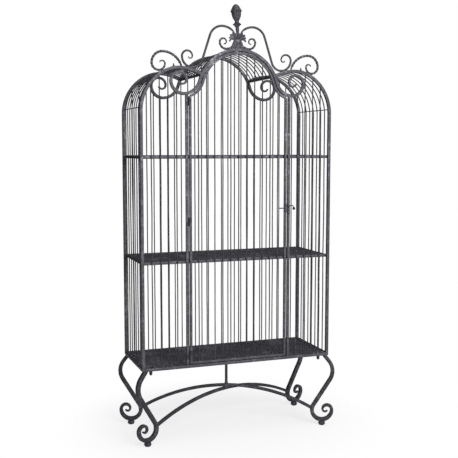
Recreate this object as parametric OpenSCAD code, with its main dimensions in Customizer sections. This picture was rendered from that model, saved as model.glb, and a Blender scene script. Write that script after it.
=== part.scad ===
// Tall bird cage on a scrolled stand, with a hinged door, three mesh shelves
// and a pediment with a finial. Millimetres, +Z up, the front faces -Y.

/* [Cage] */
// Width over the corner posts
cage_w = 1000; // [990:1:1010]
// Depth over the corner posts
cage_d = 385; // [370:1:400]
// Height of the underside of the cage above the floor
cage_z = 376; // [370:1:380]
// Underside of the middle shelf
shelf_mid_z = 895; // [800:1:1000]
// Underside of the upper shelf
shelf_top_z = 1406; // [1250:1:1500]
// Side of the square bar of the frame
bar = 15; // [14:0.5:16]
// Diameter of the cage rods
rod = 6; // [5:0.5:6.5]

/* [Roof outline] */
// Height at which the posts start to bend into the shoulders
spring_z = 1631; // [1620:1:1640]
// Radius of the outer part of a shoulder, on the bar's centre line
shoulder_r = 214; // [208:1:220]
// Angle that the outer part of a shoulder turns through
shoulder_a = 68; // [64:1:72]
// Radius of the crown of a shoulder
crown_r = 146; // [140:1:150]
// Radius of the shoulder's fall towards the central arch
fall_r = 240; // [225:1:250]
// Radius of the central arch, on the bar's centre line
arch_r = 207.5; // [204:0.5:210]
// Height of the centre of the central arch
arch_z = 1726; // [1720:1:1732]

/* [Frame scrolls] */
// Distance of the sweep's centre from the middle of the cage
sweep_x = 284; // [282:1:286]
// Height of the lowest point of the sweep, on the bar's centre line
sweep_low_z = 1717; // [1714:1:1720]
// Radii of the four turns of the scroll, from the outside in
scroll_r = [61, 41, 36, 20, 18]; // [10:1:61]

/* [Front panels] */
// Distance of a divider's centre line from the middle
divider_x = 268.5; // [267:0.5:270]
// Side of the dividers and of the door's bars
slim = 12; // [11:0.5:12]
// Number of rods in each fixed panel beside the door
panel_rods = 4; // [3:1:5]
// Number of rods in the back panel
back_count = 25; // [19:2:27]
// Number of rods in each side, which also cross the roof
side_count = 7; // [5:2:9]

/* [Door] */
// Distance of a stile's centre line from the middle
stile_x = 250; // [249:0.5:251]
// Number of rods in the door
door_count = 11; // [9:2:13]
// Gap between the door and the frame above and below it
door_gap = 3; // [2:0.5:4]
// Heights of the three hinges
hinge_zs = [440, 1100, 1680]; // [430:5:1680]
// Diameter of the hinge pins
pin_d = 5; // [4.5:0.5:5.5]
// Height of the latch
latch_z = 1155; // [1100:5:1200]

/* [Shelves] */
// Spacing of the mesh strips
mesh_pitch = 30; // [25:1:40]
// Width of a mesh strip
mesh_w = 3; // [2:0.5:4]
// Thickness of one layer of mesh
mesh_t = 2; // [1.5:0.5:2.5]

/* [Stand] */
// Side of the leg's square bar
leg_t = 20; // [18:1:21]
// Distance of the knee arc's centre from the middle of the stand
knee_u = 474; // [470:1:478]
// Height of the knee arc's centre
knee_z = 290; // [285:1:295]
// Radius of the knee arc
knee_r = 85; // [82:1:88]
// Distance of the foot scroll's centre from the middle of the stand
foot_u = 505; // [502:1:508]
// Height of the foot scroll's centre
foot_z = 81; // [80:1:82]
// Radius of the foot scroll
foot_r = 52; // [51:1:53]
// Height of the crown of the upper stretcher
stretcher_z = 214; // [208:1:220]
// Side of the stretchers
stretcher_t = 15; // [13:1:16]
// Diameter of the strut between the stretchers and the cage
strut_d = 16; // [14:1:18]
// Diameter of a foot
foot_d = 36; // [32:1:40]

/* [Pediment] */
// Sideways offset of the pediment
ped_x = -5; // [-10:1:0]
// Distance of the pediment's plane behind the middle of the front frame
ped_back = 5; // [4.7:0.1:6]
// Side of the pediment's twisted square bars
rope_d = 10; // [9:0.5:11]
// Lean of the finial, in degrees
lean = 4.5; // [0:0.5:5]

/* [Hidden] */
$fn = 64;

// Frame planes
hb = bar / 2;
px = cage_w / 2 - hb;          // post centre, X
py = cage_d / 2 - hb;          // frame plane, Y
inx = px - hb;                 // inner face of a post, X
iny = py - hb;                 // inner face of a post, Y
floor_z = cage_z + bar;        // top of the bottom rails

// Shoulder: three arcs that run into one another
c1 = [px - shoulder_r, spring_z];
c2 = c1 + (shoulder_r - crown_r) * [cos(shoulder_a), sin(shoulder_a)];
crest_z = c2[1] + crown_r;
c3 = [c2[0], crest_z - fall_r];

// Central arch and the sweep that runs into the scroll
sweep_r = (pow(sweep_x, 2) + pow(sweep_low_z - arch_z, 2) - pow(arch_r, 2))
  / (2 * (arch_r - (sweep_low_z - arch_z)));
sweep_c = [sweep_x, sweep_low_z + sweep_r];
turn_a = atan2(sweep_c[1] - arch_z, sweep_x);
turn_x = arch_r * cos(turn_a);

// Crossing of the shoulder's fall with a circle of radius r about the arch's centre
function cross_pt(r) =
  let(d = norm(c3 - [0, arch_z]),
      along = (r * r - fall_r * fall_r + d * d) / (2 * d),
      across = sqrt(r * r - along * along),
      u = (c3 - [0, arch_z]) / d)
  [along * u[0] - across * u[1], arch_z + along * u[1] + across * u[0]];
valley = cross_pt(arch_r);
weld = cross_pt(arch_r + hb - 4);
function ang(c, p) = atan2(p[1] - c[1], p[0] - c[0]);

// Height of the shoulder's line at x, moved outwards by o
function shoulder_h(x, o = 0) =
  x > c1[0] + (shoulder_r + o) * cos(shoulder_a) ?
    c1[1] + sqrt(pow(shoulder_r + o, 2) - pow(x - c1[0], 2)) :
  x > c2[0] ? c2[1] + sqrt(pow(crown_r + o, 2) - pow(x - c2[0], 2)) :
  c3[1] + sqrt(pow(fall_r + o, 2) - pow(x - c3[0], 2));
// Height at which a vertical rod at x meets the frame above it
function frame_h(x) =
  x < turn_x ? arch_z + sqrt(pow(arch_r, 2) - x * x) :
  x < sweep_x ? sweep_c[1] - sqrt(pow(sweep_r, 2) - pow(x - sweep_x, 2)) :
  x < sweep_x + scroll_r[0] ?
    sweep_low_z + scroll_r[0] - sqrt(pow(scroll_r[0], 2) - pow(x - sweep_x, 2)) :
  shoulder_h(x);

// Door
hs = slim / 2;
door_z = floor_z + door_gap;
rise = hb + door_gap + hs;
door_arch_r = arch_r - rise;
door_sweep_r = sweep_r + rise;
function door_h(x) =
  x < door_arch_r * cos(turn_a) ? arch_z + sqrt(pow(door_arch_r, 2) - x * x) :
  sweep_c[1] - sqrt(pow(door_sweep_r, 2) - pow(x - sweep_x, 2));
axis_x = -(divider_x + stile_x) / 2;
axis_y = -py - hs - 4;
knuckle_h = 20;
bolt_d = 5;

// Stand: the legs stand in the two diagonal planes
diag = atan2(py, px);
function line_dir(a, ra, b, rb) =
  atan2(b[1] - a[1], b[0] - a[0]) - asin((ra + rb) / norm(b - a));
knee_c = [knee_u, knee_z];
foot_c = [foot_u, foot_z];
leg_dir = line_dir(knee_c, knee_r, foot_c, foot_r);
knee_top = 38;

// Pediment
stem_z = 2024;
rope_crest = [79, 1979];
rope_crest_r = 66;
rope_low_r = 52;
rope_low_x = 231;

// Bar of square section along an arc in the XZ plane, from angle a0 to a1.
// Each bar of a chain starts lap millimetres inside the slightly thicker one before it.
module bar_arc(c, r, a0, a1, t, w, lap = 0) {
  start = a0 - sign(a1 - a0) * lap / r * 180 / PI;
  translate([c[0], 0, c[1]])
    rotate([90, 0, 0])
      rotate([0, 0, min(start, a1)])
        rotate_extrude(angle = abs(a1 - start), $fn = 96)
          translate([r, 0]) square([t, w], center = true);
}

// Round rod along an arc in the XZ plane
module rod_arc(c, r, a0, a1, d) {
  translate([c[0], 0, c[1]])
    rotate([90, 0, 0])
      rotate([0, 0, min(a0, a1)])
        rotate_extrude(angle = abs(a1 - a0), $fn = 96)
          translate([r, 0]) circle(d = d, $fn = 24);
}

// Straight bar of square section between two points of the XZ plane
module bar_line(p, q, t, w, lap = 0) {
  translate([p[0], 0, p[1]])
    rotate([0, -ang(p, q), 0])
      translate([-lap, -w / 2, -t / 2]) cube([norm(q - p) + lap, w, t]);
}

function on(c, r, a) = c + r * [cos(a), sin(a)];

// Right-hand post with its shoulder
module upright() {
  translate([px - hb, -hb, cage_z]) cube([bar, bar, spring_z - cage_z]);
  bar_arc(c1, shoulder_r, 0, shoulder_a, bar, bar);
  bar_arc(c2, crown_r, shoulder_a, 90, bar, bar);
  bar_arc(c3, fall_r, 90, ang(c3, weld), bar, bar);
}

module upright_front_left() {
  color("dimgray") translate([0, -py, 0]) mirror([1, 0, 0]) upright();
}
module upright_front_right() {
  color("dimgray") translate([0, -py, 0]) upright();
}
module upright_back_left() {
  color("dimgray") translate([0, py, 0]) mirror([1, 0, 0]) upright();
}
module upright_back_right() {
  color("dimgray") translate([0, py, 0]) upright();
}

// Right-hand sweep of the arch and its scroll, thinner towards the tip
module sweep() {
  s = scroll_r;
  q0 = [sweep_x, sweep_low_z + s[0]];
  q1 = [sweep_x + s[0] - s[1], q0[1]];
  q2 = [q1[0], q1[1] + s[1] - s[2]];
  q3 = [q2[0] - s[2] + s[3], q2[1]];
  q4 = [q3[0], q3[1] - s[3] + s[4]];
  bar_arc(sweep_c, sweep_r, 180 + turn_a, 270, bar - 0.2, bar - 0.2, 1);
  bar_arc(q0, s[0], 270, 360, bar - 0.4, bar - 0.4, 1);
  bar_arc(q1, s[1], 0, 90, bar - 1.5, bar - 1, 1);
  bar_arc(q2, s[2], 90, 180, bar - 3, bar - 2, 1);
  bar_arc(q3, s[3], 180, 270, bar - 5, bar - 3, 1);
  bar_arc(q4, s[4], 270, 345, bar - 7, bar - 4, 1);
}

module arch() {
  bar_arc([0, arch_z], arch_r, turn_a, 180 - turn_a, bar, bar);
  sweep();
  mirror([1, 0, 0]) sweep();
}

module arch_front() {
  color("gray") translate([0, -py, 0]) arch();
}
module arch_back() {
  color("gray") translate([0, py, 0]) arch();
}

module base_rails() {
  color("slategray")
    for (s = [-1, 1]) {
      translate([-inx, s * py - hb, cage_z]) cube([2 * inx, bar, bar]);
      translate([s * px - hb, -iny, cage_z]) cube([bar, 2 * iny, bar]);
    }
}

// Rail along the middle, which carries the mesh and rests on the strut
module base_mid_rail() {
  color("slategray")
    translate([-inx, -hb, cage_z]) cube([2 * inx, bar, bar - 2 * mesh_t]);
}

// One layer of parallel strips in a field of half sides a and b
module strips(a, b, turn) {
  n = ceil((a + b) * 0.7072 / mesh_pitch);
  linear_extrude(height = mesh_t)
    intersection() {
      square([2 * a, 2 * b], center = true);
      rotate(turn)
        for (i = [-n:n])
          translate([(i + 0.25) * mesh_pitch - mesh_w / 2, -2 * a])
            square([mesh_w, 4 * a]);
    }
}

module mesh(a, b, z) {
  translate([0, 0, z]) strips(a, b, 45);
  translate([0, 0, z + mesh_t]) strips(a, b, -45);
}

module base_mesh() {
  color("darkslategray") mesh(inx, iny, floor_z - 2 * mesh_t);
}

shelf_x = px - rod / 2;
module shelf_frame(z) {
  difference() {
    translate([-shelf_x, -iny, z]) cube([2 * shelf_x, 2 * iny, bar]);
    translate([-shelf_x + bar, -iny + bar, z - 1])
      cube([2 * (shelf_x - bar), 2 * (iny - bar), bar + 2]);
  }
}

module shelf_mid_frame() {
  color("slategray") shelf_frame(shelf_mid_z);
}
module shelf_top_frame() {
  color("slategray") shelf_frame(shelf_top_z);
}
module shelf_mid_mesh() {
  color("darkslategray") mesh(shelf_x - bar, iny - bar, shelf_mid_z + bar - 2 * mesh_t - 1);
}
module shelf_top_mesh() {
  color("darkslategray") mesh(shelf_x - bar, iny - bar, shelf_top_z + bar - 2 * mesh_t - 1);
}

module divider_left() {
  color("gray")
    translate([-divider_x - hs, -py - hs, floor_z])
      cube([slim, slim, frame_h(divider_x) - floor_z]);
}
module divider_right() {
  color("gray")
    difference() {
      translate([divider_x - hs, -py - hs, floor_z])
        cube([slim, slim, frame_h(divider_x) - floor_z]);
      translate([divider_x - hs - 1, -py, latch_z]) rotate([0, 90, 0])
        cylinder(h = slim - 1, d = bolt_d + 1.2, $fn = 32);
    }
}

// Rods of a fixed front panel stand against the shelf edges
panel_step = (inx - divider_x - hs) / (panel_rods + 1);
rod_y = iny + rod / 2;
module panel_rods_right() {
  color("silver")
    for (i = [1:panel_rods]) {
      x = divider_x + hs + i * panel_step;
      translate([x, -rod_y, floor_z])
        cylinder(h = frame_h(x) - floor_z, d = rod, $fn = 24);
    }
}
module panel_rods_left() {
  mirror([1, 0, 0]) panel_rods_right();
}

module back_rods() {
  h = (back_count - 1) / 2;
  color("silver")
    for (i = [-h:h]) {
      x = i * 2 * inx / (back_count + 1);
      translate([x, rod_y, floor_z])
        cylinder(h = frame_h(abs(x)) - floor_z, d = rod, $fn = 24);
    }
}

module in_depth() {
  h = (side_count - 1) / 2;
  for (i = [-h:h])
    translate([0, i * 2 * iny / (side_count + 1), 0]) children();
}

module side_rods_right() {
  color("silver") in_depth()
    translate([px, 0, floor_z]) cylinder(h = spring_z - floor_z, d = rod, $fn = 24);
}
module side_rods_left() {
  mirror([1, 0, 0]) side_rods_right();
}

// Roof rods stop this far short of the middle of the valley bars
valley_gap = 4;
function gap_a(r) = valley_gap / r * 180 / PI;
module shoulder_rods_right() {
  color("silver") in_depth() {
    rod_arc(c1, shoulder_r, 0, shoulder_a, rod);
    rod_arc(c2, crown_r, shoulder_a, 90, rod);
    rod_arc(c3, fall_r, 90, ang(c3, valley) - gap_a(fall_r), rod);
  }
}
module shoulder_rods_left() {
  mirror([1, 0, 0]) shoulder_rods_right();
}

module vault_rods() {
  a = ang([0, arch_z], valley) + gap_a(arch_r);
  color("silver") in_depth() rod_arc([0, arch_z], arch_r, a, 180 - a, rod);
}

wire_d = 5;
wire_up = 21;
wire_x = c1[0] + sqrt(pow(shoulder_r, 2) - pow(wire_up, 2)) - rod / 2 - wire_d / 2 + 0.2;
module side_wires() {
  color("silver")
    for (s = [-1, 1])
      translate([s * wire_x, -iny, spring_z + wire_up]) rotate([-90, 0, 0])
        cylinder(h = 2 * iny, d = wire_d, $fn = 24);
}

module valley_bars() {
  color("slategray")
    for (s = [-1, 1])
      translate([s * valley[0] - hs, -iny, valley[1] - hs]) cube([slim, 2 * iny, slim]);
}

// Leg in the plane of u (to the right) and Z
module leg() {
  k = on(knee_c, knee_r, knee_top);
  top = k + 60 * [-sin(knee_top), cos(knee_top)];
  a = on(knee_c, knee_r, leg_dir + 90);
  b = on(foot_c, foot_r, leg_dir - 90);
  t1 = leg_t - 2;
  t2 = leg_t - 5;
  t3 = leg_t - 8;
  t4 = leg_t - 11;
  difference() {
    union() {
      bar_line(top, k, leg_t, leg_t);
      bar_arc(knee_c, knee_r, knee_top, leg_dir + 90, leg_t - 0.2, leg_t - 0.2, 1);
      bar_line(a, b, leg_t - 0.4, leg_t - 0.4, 1);
      bar_arc(foot_c, foot_r, leg_dir + 270, 360, leg_t - 0.6, leg_t - 0.6, 1);
      bar_arc(foot_c + [foot_r - 26, 0], 26, 0, 90, t1, t1, 1);
      bar_arc(foot_c + [foot_r - 26, 4], 22, 90, 180, t2, t2, 1);
      bar_arc(foot_c + [foot_r - 34, 4], 14, 180, 270, t3, t3, 1);
      bar_arc(foot_c + [foot_r - 34, 0], 10, 270, 350, t4, t4, 1);
    }
    translate([foot_u - 100, -50, cage_z]) cube([200, 100, 60]);
  }
}

module leg_front_left() {
  color("gray") rotate(180 + diag) leg();
}
module leg_front_right() {
  color("gray") rotate(-diag) leg();
}
module leg_back_left() {
  color("gray") rotate(180 - diag) leg();
}
module leg_back_right() {
  color("gray") rotate(diag) leg();
}

module foot() {
  r = foot_d / 2;
  translate([foot_u, 0, 0])
    rotate_extrude($fn = 48)
      polygon([[0, 0], [r * 0.7, 0], [r * 0.92, 3], [r, 8], [r * 0.95, 13],
        [r * 0.75, 18], [r * 0.6, 22], [0, 22]]);
}
module foot_front_left() {
  color("dimgray") rotate(180 + diag) foot();
}
module foot_front_right() {
  color("dimgray") rotate(-diag) foot();
}
module foot_back_left() {
  color("dimgray") rotate(180 - diag) foot();
}
module foot_back_right() {
  color("dimgray") rotate(diag) foot();
}

// Arched stretcher with its crown at height z, ending in the legs
stretcher_end_z = 93;
module stretcher(z) {
  end_u = foot_u - foot_r - leg_t / 2 + 5;
  s = z - stretcher_end_z;
  r = (end_u * end_u + s * s) / (2 * s);
  a = asin(end_u / r);
  bar_arc([0, z - r], r, 90 - a, 90 + a, stretcher_t, stretcher_t);
}
module stretcher_upper() {
  color("gray") rotate(-diag) stretcher(stretcher_z);
}
module stretcher_lower() {
  color("gray") rotate(diag) stretcher(stretcher_z - stretcher_t - 0.1);
}
module strut() {
  color("gray")
    translate([0, 0, stretcher_z + stretcher_t / 2 - 1])
      cylinder(h = cage_z - stretcher_z - stretcher_t / 2 + 1, d = strut_d, $fn = 32);
}

// Domed bolts that hang from the bottom rails
bolt_x = 450;
bolt_shift = -6;
stud_h = 20;
module stand_bolts() {
  color("dimgray")
    for (sx = [-1, 1], sy = [-1, 1])
      translate([sx * bolt_x + bolt_shift, sy * py, cage_z - stud_h])
        rotate_extrude($fn = 32)
          polygon([[0, 0], [4, 0.5], [6.8, 3.5], [8, 8], [7.6, 11], [6, 13.5], [6, stud_h], [0, stud_h]]);
}

// Pediment, in one plane on top of the front frame
module on_pediment() {
  translate([ped_x, -py + ped_back, 0]) children();
}

// Flared skirt that carries the leaf and stands on the arch
skirt_t = 20;
module pediment_column() {
  z = arch_z + arch_r + hb;
  half = [[37, 0], [36, 8], [31, 20], [25, 33], [21, 43], [20, 50]];
  color("dimgray") on_pediment()
    translate([0, skirt_t / 2, z - 8])
      rotate([90, 0, 0])
        linear_extrude(height = skirt_t)
          polygon(concat(half, [for (i = [len(half) - 1:-1:0]) [-half[i][0], half[i][1]]]));
}

// Fan-shaped leaf with a scalloped edge
leaf_z = 1994;
leaf_t = 14;
function leaf_r(a) = 37 + 7 * abs(cos(3.5 * a)) - 4 * cos(a);
module pediment_leaf() {
  color("dimgray") on_pediment()
    translate([0, leaf_t / 2, leaf_z])
      rotate([90, 0, 0])
        linear_extrude(height = leaf_t)
          polygon(concat(
            [for (a = [-108:6:108]) leaf_r(a) * [sin(a), cos(a)]],
            [[14, -16], [-14, -16]]));
}

module finial() {
  color("dimgray") on_pediment()
    translate([0, 0, stem_z - 6])
      rotate([0, -lean, 0])
        rotate_extrude($fn = 48)
          polygon([[0, 0], [12, 0], [10, 10], [10, 27], [12, 31], [18, 35], [20, 38], [18, 41],
            [12, 45], [10, 49], [10, 57], [13, 62], [18, 70], [22, 79], [24.5, 88], [25, 95],
            [29, 101], [27, 104], [20, 107], [18, 113], [15, 120], [11, 127], [6, 132], [0, 134]]);
}

// Rope scroll: springs from the leaf, arches over and rests on the shoulder
module rope_scroll(s) {
  x = rope_low_x + s * ped_x;
  z = shoulder_h(x, hb) + rope_d / 2 - 0.5 + rope_low_r;
  a = rope_crest;
  b = [rope_low_x, z];
  dir = line_dir(a, rope_crest_r, b, rope_low_r);
  e = b[0] + rope_low_r;
  t1 = rope_d - 1;
  t2 = rope_d - 2;
  t3 = rope_d - 4;
  t0 = rope_d;
  bar_arc([a[0], a[1] + rope_crest_r - 80], 80, 140, 90, t0, t0);
  bar_arc(a, rope_crest_r, 90, dir + 90, t0 - 0.2, t0 - 0.2, 1);
  bar_line(on(a, rope_crest_r, dir + 90), on(b, rope_low_r, dir - 90), t0 - 0.4, t0 - 0.4, 1);
  bar_arc(b, rope_low_r, dir + 270, 360, t0 - 0.6, t0 - 0.6, 1);
  bar_arc([e - 27, z], 27, 0, 90, t1, t1, 1);
  bar_arc([e - 27, z + 2], 25, 90, 180, t2, t2, 1);
  bar_arc([e - 41, z + 2], 11, 180, 270, t3, t3, 1);
  bar_arc([e - 41, z], 9, 270, 350, t3 - 1, t3 - 1, 1);
}
module rope_scroll_right() {
  color("darkgray") on_pediment() rope_scroll(1);
}
module rope_scroll_left() {
  color("darkgray") on_pediment() mirror([1, 0, 0]) rope_scroll(-1);
}

// Small scroll at the foot of the column, resting on the arch
module base_scroll(s) {
  d = rope_d - 1;
  x = 60;
  z = arch_z + sqrt(pow(arch_r + hb + 32 + d / 2 - 0.4, 2) - pow(x + s * ped_x, 2));
  bar_arc([x, z + 18], 50, 212, 270, d, d);
  bar_arc([x, z], 32, 270, 360, d - 0.2, d - 0.2, 1);
  bar_arc([x + 14, z], 18, 0, 90, d - 1, d - 1, 1);
  bar_arc([x + 14, z + 2], 16, 90, 180, d - 2, d - 2, 1);
  bar_arc([x + 8, z + 2], 10, 180, 290, d - 3, d - 3, 1);
}
module base_scrolls() {
  color("darkgray") on_pediment() {
    base_scroll(1);
    mirror([1, 0, 0]) base_scroll(-1);
  }
}

// Outer scroll on the shoulder
module crest_scroll(s) {
  k = 398;
  x = k + s * ped_x;
  z = c1[1] + sqrt(pow(shoulder_r + hb + 34 + rope_d / 2 - 0.4, 2) - pow(x - c1[0], 2));
  bar_arc([k - 20, z + 54 - 97], 97, 165, 90, rope_d, rope_d);
  bar_arc([k - 20, z], 54, 90, 0, rope_d - 0.2, rope_d - 0.2, 1);
  bar_arc([k, z], 34, 360, 270, rope_d - 0.4, rope_d - 0.4, 1);
  bar_arc([k, z - 3], 31, 270, 180, rope_d - 1, rope_d - 1, 1);
  bar_arc([k - 17, z - 3], 14, 180, 90, rope_d - 2, rope_d - 2, 1);
  bar_arc([k - 17, z - 1], 12, 90, 15, rope_d - 4, rope_d - 4, 1);
}
module crest_scroll_right() {
  color("darkgray") on_pediment() crest_scroll(1);
}
module crest_scroll_left() {
  color("darkgray") on_pediment() mirror([1, 0, 0]) crest_scroll(-1);
}

spike_x = 331;
module crest_spikes() {
  color("dimgray")
    for (s = [-1, 1])
      translate([s * spike_x, -py, shoulder_h(spike_x, hb) - 2])
        cylinder(h = 17, r1 = 6, r2 = 1, $fn = 24);
}

// Hinges: barrels in front of the gap between the left divider and the door
module knuckle(z, side, bore) {
  leaf = (divider_x - stile_x) / 2 + hs - 2;
  difference() {
    union() {
      translate([axis_x, axis_y, z]) cylinder(h = knuckle_h, d = 8, $fn = 32);
      translate([side > 0 ? axis_x : axis_x - leaf, -py - hs - 2.5, z]) cube([leaf, 2.5, knuckle_h]);
    }
    translate([axis_x, axis_y, z - 1]) cylinder(h = knuckle_h + 2, d = bore, $fn = 32);
  }
}
module hinge_lower_knuckles() {
  color("gray") for (z = hinge_zs) knuckle(z - knuckle_h, -1, pin_d);
}
module hinge_upper_knuckles() {
  color("gray") for (z = hinge_zs) knuckle(z + 0.4, 1, pin_d + 0.12);
}
module hinge_pins() {
  color("dimgray")
    for (z = hinge_zs)
      translate([axis_x, axis_y, 0]) {
        translate([0, 0, z - knuckle_h]) cylinder(h = 2 * knuckle_h + 1, d = pin_d, $fn = 32);
        translate([0, 0, z + knuckle_h + 0.8]) cylinder(h = 2, d = 7, $fn = 32);
      }
}

// Door
module door_stile_left() {
  color("gray")
    translate([-stile_x - hs, -py - hs, door_z])
      cube([slim, slim, door_h(stile_x) - door_z]);
}
module door_stile_right() {
  color("gray")
    difference() {
      translate([stile_x - hs, -py - hs, door_z])
        cube([slim, slim, door_h(stile_x) - door_z]);
      translate([stile_x - hs - 1, -py, latch_z]) rotate([0, 90, 0])
        cylinder(h = slim + 2, d = bolt_d + 0.12, $fn = 32);
    }
}
module door_bottom_rail() {
  color("gray")
    translate([-stile_x + hs, -py - hs, door_z]) cube([2 * (stile_x - hs), slim, slim]);
}
module door_top_rail() {
  low = acos((sweep_x - stile_x - hs) / door_sweep_r);
  color("gray") translate([0, -py, 0]) {
    bar_arc([0, arch_z], door_arch_r, turn_a, 180 - turn_a, slim, slim);
    intersection() {
      union() {
        bar_arc(sweep_c, door_sweep_r, 180 + turn_a, 186 + low, slim, slim);
        mirror([1, 0, 0]) bar_arc(sweep_c, door_sweep_r, 180 + turn_a, 186 + low, slim, slim);
      }
      translate([-stile_x - hs, -slim, arch_z - 200]) cube([2 * (stile_x + hs), 2 * slim, 400]);
    }
  }
}
module door_rods() {
  h = (door_count - 1) / 2;
  color("silver")
    for (i = [-h:h]) {
      x = i * 2 * stile_x / (door_count + 1);
      translate([x, -py, door_z + slim])
        cylinder(h = door_h(abs(x)) - door_z - slim, d = rod, $fn = 24);
    }
}

// Latch: a sliding bolt through the right stile, worked by a bent arm with a knob
arm_y = -py - hs - 5;
tail_x = stile_x - hs - 24;
hump_r = 14;
hump_x = 280;
module latch_plate() {
  color("gray") translate([stile_x - hs, -py - hs - 2, latch_z - 22]) cube([slim, 2, 44]);
}
module latch_keeper() {
  color("gray") translate([divider_x - hs, -py - hs - 2, latch_z - 32]) cube([slim, 2, 48]);
}
module screw(x, z) {
  translate([x, -py - hs - 2, z]) rotate([90, 0, 0]) cylinder(h = 1.2, d = 6, $fn = 24);
}
module latch_screws() {
  color("black") {
    screw(stile_x, latch_z - 15);
    screw(stile_x, latch_z + 15);
  }
}
module keeper_screws() {
  color("black") {
    screw(divider_x, latch_z - 26);
    screw(divider_x, latch_z - 13);
  }
}
module latch_bolt() {
  color("dimgray") {
    translate([tail_x, -py, latch_z]) rotate([0, 90, 0])
      cylinder(h = stile_x + hs + 2.5 - tail_x, d = bolt_d, $fn = 32);
    translate([tail_x, -py, latch_z]) sphere(d = bolt_d, $fn = 32);
    translate([tail_x, -py, latch_z]) rotate([90, 0, 0])
      cylinder(h = -py - arm_y, d = bolt_d, $fn = 32);
    translate([tail_x, arm_y, latch_z]) sphere(d = bolt_d, $fn = 32);
    translate([tail_x, arm_y, latch_z]) rotate([0, 90, 0])
      cylinder(h = hump_x - hump_r - tail_x, d = bolt_d, $fn = 32);
    translate([hump_x - hump_r, arm_y, latch_z]) sphere(d = bolt_d, $fn = 32);
    translate([0, arm_y, 0]) rod_arc([hump_x, latch_z], hump_r, 0, 180, bolt_d);
  }
}
module latch_knob() {
  color("black") translate([hump_x + hump_r, arm_y, latch_z - 2]) sphere(d = 15, $fn = 48);
}

upright_front_left();
upright_front_right();
upright_back_left();
upright_back_right();
arch_front();
arch_back();
base_rails();
base_mid_rail();
base_mesh();
shelf_mid_frame();
shelf_mid_mesh();
shelf_top_frame();
shelf_top_mesh();
divider_left();
divider_right();
panel_rods_left();
panel_rods_right();
back_rods();
side_rods_left();
side_rods_right();
shoulder_rods_left();
shoulder_rods_right();
vault_rods();
side_wires();
valley_bars();
leg_front_left();
leg_front_right();
leg_back_left();
leg_back_right();
foot_front_left();
foot_front_right();
foot_back_left();
foot_back_right();
stretcher_upper();
stretcher_lower();
strut();
stand_bolts();
pediment_column();
pediment_leaf();
finial();
rope_scroll_left();
rope_scroll_right();
base_scrolls();
crest_scroll_left();
crest_scroll_right();
crest_spikes();
hinge_lower_knuckles();
hinge_pins();
latch_keeper();
keeper_screws();
door_stile_left();
door_stile_right();
door_bottom_rail();
door_top_rail();
door_rods();
hinge_upper_knuckles();
latch_plate();
latch_screws();
latch_bolt();
latch_knob();
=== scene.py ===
# Looks of a tall iron bird cage on a scrolled stand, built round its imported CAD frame.
# Blender units are metres, +Z up, the front faces -Y. Lengths named here are millimetres.
import math

import bmesh
import bpy
import numpy as np
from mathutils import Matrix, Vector


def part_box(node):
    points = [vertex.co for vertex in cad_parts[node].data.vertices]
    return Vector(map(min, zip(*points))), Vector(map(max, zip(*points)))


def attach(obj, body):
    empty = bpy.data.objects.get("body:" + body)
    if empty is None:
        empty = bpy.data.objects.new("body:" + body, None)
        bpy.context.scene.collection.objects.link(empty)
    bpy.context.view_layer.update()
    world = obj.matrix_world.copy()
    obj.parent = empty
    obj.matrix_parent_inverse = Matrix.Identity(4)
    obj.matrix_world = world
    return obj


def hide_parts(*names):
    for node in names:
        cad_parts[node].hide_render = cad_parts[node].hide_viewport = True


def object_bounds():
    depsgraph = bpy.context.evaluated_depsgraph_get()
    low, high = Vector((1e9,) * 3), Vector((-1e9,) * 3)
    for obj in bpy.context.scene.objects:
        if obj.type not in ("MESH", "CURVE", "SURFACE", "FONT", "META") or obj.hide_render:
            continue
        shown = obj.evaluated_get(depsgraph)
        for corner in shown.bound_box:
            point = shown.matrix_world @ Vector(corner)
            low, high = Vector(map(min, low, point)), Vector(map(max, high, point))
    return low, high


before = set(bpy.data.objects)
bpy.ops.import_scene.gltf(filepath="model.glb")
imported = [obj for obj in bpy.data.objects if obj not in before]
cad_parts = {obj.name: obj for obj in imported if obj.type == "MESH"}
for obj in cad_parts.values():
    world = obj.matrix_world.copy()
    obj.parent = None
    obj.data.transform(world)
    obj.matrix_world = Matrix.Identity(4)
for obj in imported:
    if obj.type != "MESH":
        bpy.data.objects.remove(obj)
cad_low, cad_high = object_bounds()

MM = 0.001
SEED = 11

# ------------------------------------------------------------ sizes of the design, in millimetres and degrees
# Square bars of the frame, of the door and its neighbours, and of the legs and stretchers; round rods
BAR, SLIM, LEG_T, STRETCHER_T = 15.0, 12.0, 20.0, 15.0
ROD = 6.0
# Shoulder of a post: where it starts to bend, then its three arcs in turn
SPRING_Z = 1631.0
SHOULDER_R, SHOULDER_A = 214.0, 68.0
CROWN_R, FALL_R = 146.0, 240.0
# Central arch, the lowest point of the sweep beside it, and the radii of the scroll that the sweep runs into
ARCH_R, ARCH_Z = 207.5, 1726.0
SWEEP_X, SWEEP_LOW_Z = 284.0, 1717.0
SCROLL_R = (61.0, 41.0, 36.0, 20.0, 18.0)
# How an arch's bar thins out: distance from its tip, then half its section in and across its plane
ARCH_TAPER = ((0, 30, 90, 170, 240), (4.2, 5.0, 5.9, 6.8, BAR / 2), (4.4, 5.6, 6.4, 7.0, BAR / 2))
# Leg: centre and radius of its knee and of its foot's curl, and its own taper
KNEE, KNEE_R, KNEE_TOP = (474.0, 290.0), 85.0, 38.0
FOOT, FOOT_R = (505.0, 81.0), 52.0
LEG_TAPER = ((0, 25, 70, 130, 190), (4.0, 5.2, 7.4, 9.2, LEG_T / 2), (5.0, 6.4, 8.2, 9.4, LEG_T / 2))
STRETCHER_END_Z, STRETCHER_LAP = 93.0, 5.0
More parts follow.
